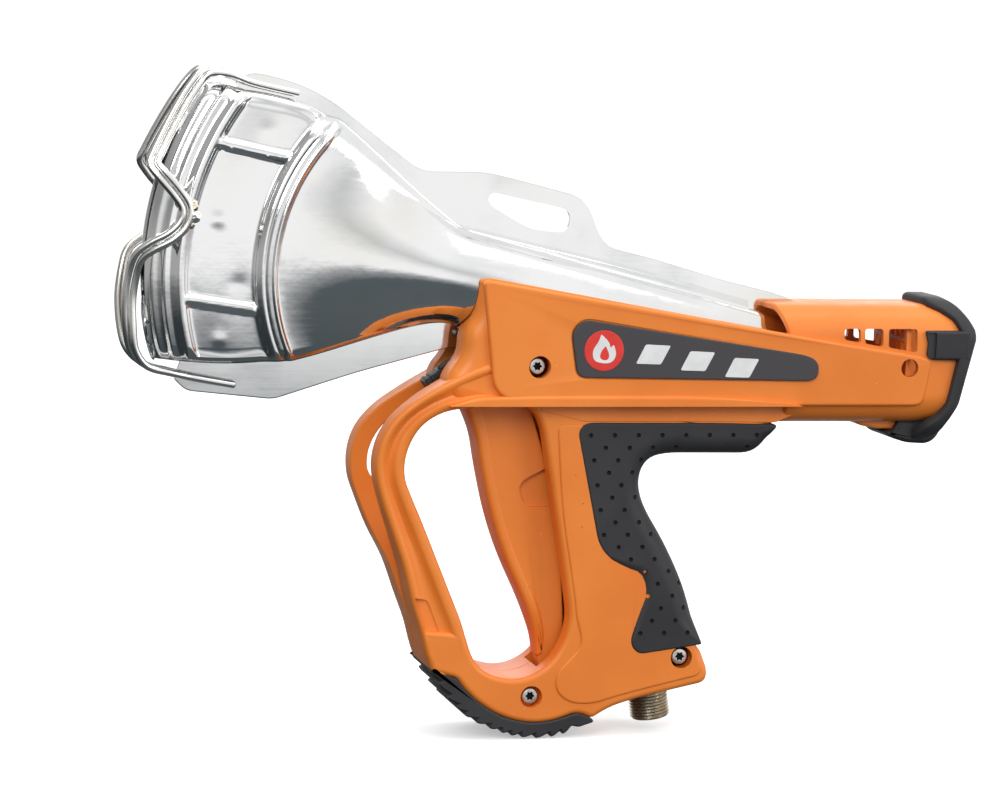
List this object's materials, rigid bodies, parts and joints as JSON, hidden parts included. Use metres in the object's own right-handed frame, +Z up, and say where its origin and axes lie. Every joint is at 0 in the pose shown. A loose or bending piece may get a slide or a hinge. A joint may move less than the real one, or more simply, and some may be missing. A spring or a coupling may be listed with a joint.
{
  "type": "gas heat gun",
  "caption": "Pistol-shaped gas heat gun for shrink wrapping, with a flat steel fishtail nozzle in a wire cage, a long lever trigger in a hand guard and a threaded gas inlet.",
  "frame": {"origin": "centre of the free end of the gas inlet's thread, on the parting plane", "axes": "+X towards the tail along the casing, nozzle towards -X; +Y to the right side; +Z up"},
  "size_m": [0.3593, 0.0536, 0.2731],
  "materials": {
    "orange_plastic": "satin gloss",
    "soft_black": "fine matt",
    "black_plastic": "matt",
    "polished_steel": "polished, with fine scratches",
    "steel_wire": "bright drawn",
    "weld": "heat-tinted",
    "screw_steel": "satin",
    "nickel_brass": "satin",
    "plate_black": "satin",
    "emblem": "printed",
    "white_ceramic": "glazed"
  },
  "bodies": {
    "gun": {"left_shell": "orange_plastic", "right_shell": "orange_plastic", "tail_bumper": "soft_black", "intake_grille": "black_plastic", "left_grip_pad": "soft_black", "right_grip_pad": "soft_black", "foot_bumper": "soft_black", "left_name_plate": "plate_black", "right_name_plate": "plate_black", "plate_emblems": "emblem", "shell_screws": "screw_steel", "trigger_pin": "screw_steel", "trigger_spring": "steel_wire", "nozzle_left_half": "polished_steel", "nozzle_right_half": "polished_steel", "nozzle_lock_pin": "black_plastic", "left_outer_rod": "steel_wire", "left_inner_rod": "steel_wire", "right_outer_rod": "steel_wire", "right_inner_rod": "steel_wire", "cage_welds": "weld", "flame_holder": "polished_steel", "electrode": "steel_wire", "electrode_insulator": "white_ceramic", "ignition_lead": "black_plastic", "lead_connectors": "black_plastic", "piezo_body": "black_plastic", "gas_inlet_fitting": "nickel_brass", "inlet_washer": "black_plastic", "inlet_nut": "nickel_brass", "feed_pipe": "nickel_brass", "valve_body": "nickel_brass", "injector_pipe": "nickel_brass", "injector_jet": "nickel_brass", "jet_bracket": "screw_steel"},
    "trigger": {"trigger": "orange_plastic"},
    "stem": {"valve_stem": "screw_steel"},
    "plunger": {"piezo_plunger": "white_ceramic"}
  },
  "joints": [
    {"name": "trigger_pull", "type": "hinge", "parent": "gun", "child": "trigger", "pos_m": [-0.045, 0, 0.015], "axis": [0, 1, 0], "range_deg": [0, 5], "stiffness_Nm_per_rad": 2, "springref_deg": -8.59},
    {"name": "stem_slide", "type": "slide", "parent": "gun", "child": "stem", "axis": [1, 0, 0], "range_m": [0, 0.005]},
    {"name": "plunger_slide", "type": "slide", "parent": "gun", "child": "plunger", "axis": [1, 0, 0], "range_m": [0, 0.0086]}
  ],
  "couplings": [
    {"joint": "stem_slide", "follows": "trigger_pull", "m_per_rad": 0.055},
    {"joint": "plunger_slide", "follows": "trigger_pull", "m_per_rad": 0.095}
  ]
}
